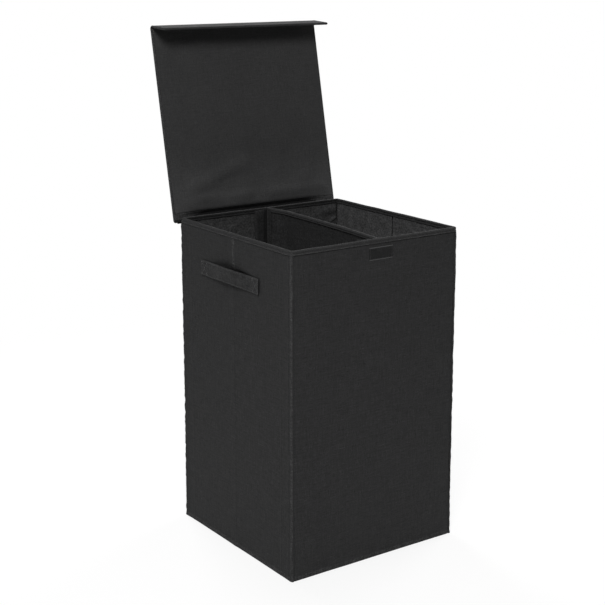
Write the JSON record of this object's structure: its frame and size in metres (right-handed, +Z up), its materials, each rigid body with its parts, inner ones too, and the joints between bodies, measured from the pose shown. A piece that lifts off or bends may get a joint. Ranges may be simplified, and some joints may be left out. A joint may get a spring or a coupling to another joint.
{
  "type": "laundry hamper with two bins",
  "caption": "Square folding laundry hamper of black cloth over board, with side-by-side bins, a lift-out divider, carrying straps and a hinged lid with a folding lip.",
  "frame": {"origin": "centre of the underside of the body, on the floor", "axes": "+Z up, -Y out of the front wall that the lid's lip closes over, +X to the right seen from the front"},
  "size_m": [0.4026, 0.4791, 0.9903],
  "materials": {
    "cover_cloth": "matte woven cloth, black",
    "lining_cloth": "matte non-woven cloth, black",
    "binding_tape": "matte folded cloth tape, stitched, black",
    "strap_cloth": "matte folded cloth strap, stitched, black",
    "hook_and_loop": "matte hook-and-loop tape, black",
    "board": "bare grey board, hidden inside the cloth"
  },
  "bodies": {
    "body": {"cover_front": "cover_cloth", "board_front": "board", "lining_front": "lining_cloth", "cover_back": "cover_cloth", "board_back": "board", "lining_back": "lining_cloth", "cover_left": "cover_cloth", "board_left_front": "board", "board_left_back": "board", "lining_left": "lining_cloth", "cover_right": "cover_cloth", "board_right_front": "board", "board_right_back": "board", "lining_right": "lining_cloth", "floor_cloth": "cover_cloth", "base_board": "board", "base_cloth": "lining_cloth", "rim_binding": "binding_tape", "strap_left": "strap_cloth", "strap_right": "strap_cloth", "label_patch": "binding_tape", "hinge_band": "cover_cloth", "loop_strip_front": "hook_and_loop", "loop_strip_back": "hook_and_loop"},
    "divider": {"divider_board": "board", "divider_sleeve": "lining_cloth", "divider_binding": "binding_tape", "hook_strip_front": "hook_and_loop", "divider_flap_front": "lining_cloth", "hook_strip_back": "hook_and_loop", "divider_flap_back": "lining_cloth"},
    "lid": {"lid_cover": "cover_cloth", "lid_board": "board", "lid_lining": "lining_cloth", "hinge_flap": "cover_cloth"},
    "lip": {"lip_cover": "cover_cloth", "lip_board": "board", "lip_lining": "lining_cloth"}
  },
  "joints": [
    {"name": "lid_hinge", "type": "hinge", "parent": "body", "child": "lid", "pos_m": [0, 0.1945, 0.61], "axis": [1, 0, 0], "range_deg": [0, 101.5]},
    {"name": "lip_fold", "type": "hinge", "parent": "lid", "child": "lip", "pos_m": [0, 0.2838, 0.98625], "axis": [-1, 0, 0], "range_deg": [0, 15]},
    {"name": "divider_lift", "type": "slide", "parent": "body", "child": "divider", "axis": [0, 0, 1], "range_m": [0, 0.642]}
  ],
  "couplings": [
    {"joint": "lip_fold", "follows": "lid_hinge", "ratio": 0.1477}
  ]
}
